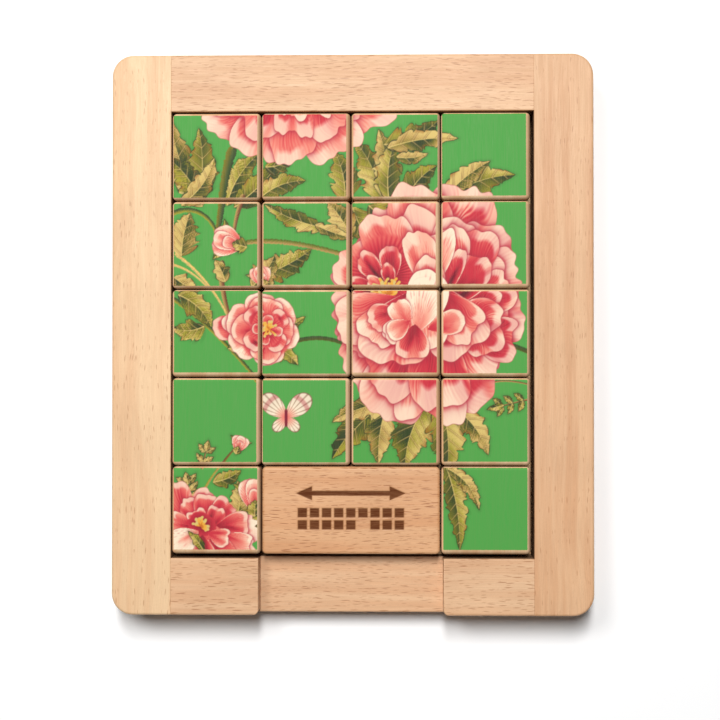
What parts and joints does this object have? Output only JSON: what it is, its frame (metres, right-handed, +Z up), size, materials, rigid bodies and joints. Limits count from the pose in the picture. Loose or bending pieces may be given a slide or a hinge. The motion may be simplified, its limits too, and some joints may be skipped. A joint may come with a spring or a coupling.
{
  "type": "sliding tile puzzle",
  "caption": "Flat beech tray holding loose printed tiles that slide to complete a picture, with a double-width spacer block lifted out at a finger notch.",
  "frame": {"origin": "centre of the tray's underside, on the surface that it lies on", "axes": "+Z up out of the tray, +Y along the stiles towards the plain rail, +X across the tray to the right, with the finger notch at the -Y end"},
  "size_m": [0.146, 0.17, 0.018],
  "materials": {
    "stile_beech": "satin clear-coated beech, grain along the stile",
    "rail_beech": "satin clear-coated beech, grain along the rail",
    "floor_plywood": "sanded thin plywood",
    "dowel_beech": "plain turned beech",
    "block_beech": "satin beech with a burnt pictogram",
    "printed_tile": "satin print on beech, bare eased edges"
  },
  "bodies": {
    "tray": {"left_stile": "stile_beech", "right_stile": "stile_beech", "top_rail": "rail_beech", "bottom_rail": "rail_beech", "floor_panel": "floor_plywood", "corner_dowels": "dowel_beech"},
    "spacer_block": {"spacer_block": "block_beech"},
    "tile_r1c1": {"tile_r1c1": "printed_tile"},
    "tile_r1c2": {"tile_r1c2": "printed_tile"},
    "tile_r1c3": {"tile_r1c3": "printed_tile"},
    "tile_r1c4": {"tile_r1c4": "printed_tile"},
    "tile_r2c1": {"tile_r2c1": "printed_tile"},
    "tile_r2c2": {"tile_r2c2": "printed_tile"},
    "tile_r2c3": {"tile_r2c3": "printed_tile"},
    "tile_r2c4": {"tile_r2c4": "printed_tile"},
    "tile_r3c1": {"tile_r3c1": "printed_tile"},
    "tile_r3c2": {"tile_r3c2": "printed_tile"},
    "tile_r3c3": {"tile_r3c3": "printed_tile"},
    "tile_r3c4": {"tile_r3c4": "printed_tile"},
    "tile_r4c1": {"tile_r4c1": "printed_tile"},
    "tile_r4c2": {"tile_r4c2": "printed_tile"},
    "tile_r4c3": {"tile_r4c3": "printed_tile"},
    "tile_r4c4": {"tile_r4c4": "printed_tile"},
    "tile_r5c1": {"tile_r5c1": "printed_tile"},
    "tile_r5c4": {"tile_r5c4": "printed_tile"}
  },
  "joints": [
    {"name": "spacer_block_lift", "type": "slide", "parent": "tray", "child": "spacer_block", "axis": [0, 0, 1], "range_m": [0, 0.04]},
    {"name": "tile_r1c1_lift", "type": "slide", "parent": "tray", "child": "tile_r1c1", "axis": [0, 0, 1], "range_m": [0, 0.02]},
    {"name": "tile_r1c2_lift", "type": "slide", "parent": "tray", "child": "tile_r1c2", "axis": [0, 0, 1], "range_m": [0, 0.02]},
    {"name": "tile_r1c3_lift", "type": "slide", "parent": "tray", "child": "tile_r1c3", "axis": [0, 0, 1], "range_m": [0, 0.02]},
    {"name": "tile_r1c4_lift", "type": "slide", "parent": "tray", "child": "tile_r1c4", "axis": [0, 0, 1], "range_m": [0, 0.02]},
    {"name": "tile_r2c1_lift", "type": "slide", "parent": "tray", "child": "tile_r2c1", "axis": [0, 0, 1], "range_m": [0, 0.02]},
    {"name": "tile_r2c2_lift", "type": "slide", "parent": "tray", "child": "tile_r2c2", "axis": [0, 0, 1], "range_m": [0, 0.02]},
    {"name": "tile_r2c3_lift", "type": "slide", "parent": "tray", "child": "tile_r2c3", "axis": [0, 0, 1], "range_m": [0, 0.02]},
    {"name": "tile_r2c4_lift", "type": "slide", "parent": "tray", "child": "tile_r2c4", "axis": [0, 0, 1], "range_m": [0, 0.02]},
    {"name": "tile_r3c1_lift", "type": "slide", "parent": "tray", "child": "tile_r3c1", "axis": [0, 0, 1], "range_m": [0, 0.02]},
    {"name": "tile_r3c2_lift", "type": "slide", "parent": "tray", "child": "tile_r3c2", "axis": [0, 0, 1], "range_m": [0, 0.02]},
    {"name": "tile_r3c3_lift", "type": "slide", "parent": "tray", "child": "tile_r3c3", "axis": [0, 0, 1], "range_m": [0, 0.02]},
    {"name": "tile_r3c4_lift", "type": "slide", "parent": "tray", "child": "tile_r3c4", "axis": [0, 0, 1], "range_m": [0, 0.02]},
    {"name": "tile_r4c1_lift", "type": "slide", "parent": "tray", "child": "tile_r4c1", "axis": [0, 0, 1], "range_m": [0, 0.02]},
    {"name": "tile_r4c2_lift", "type": "slide", "parent": "tray", "child": "tile_r4c2", "axis": [0, 0, 1], "range_m": [0, 0.02]},
    {"name": "tile_r4c3_lift", "type": "slide", "parent": "tray", "child": "tile_r4c3", "axis": [0, 0, 1], "range_m": [0, 0.02]},
    {"name": "tile_r4c4_lift", "type": "slide", "parent": "tray", "child": "tile_r4c4", "axis": [0, 0, 1], "range_m": [0, 0.02]},
    {"name": "tile_r5c1_lift", "type": "slide", "parent": "tray", "child": "tile_r5c1", "axis": [0, 0, 1], "range_m": [0, 0.02]},
    {"name": "tile_r5c4_lift", "type": "slide", "parent": "tray", "child": "tile_r5c4", "axis": [0, 0, 1], "range_m": [0, 0.02]}
  ]
}
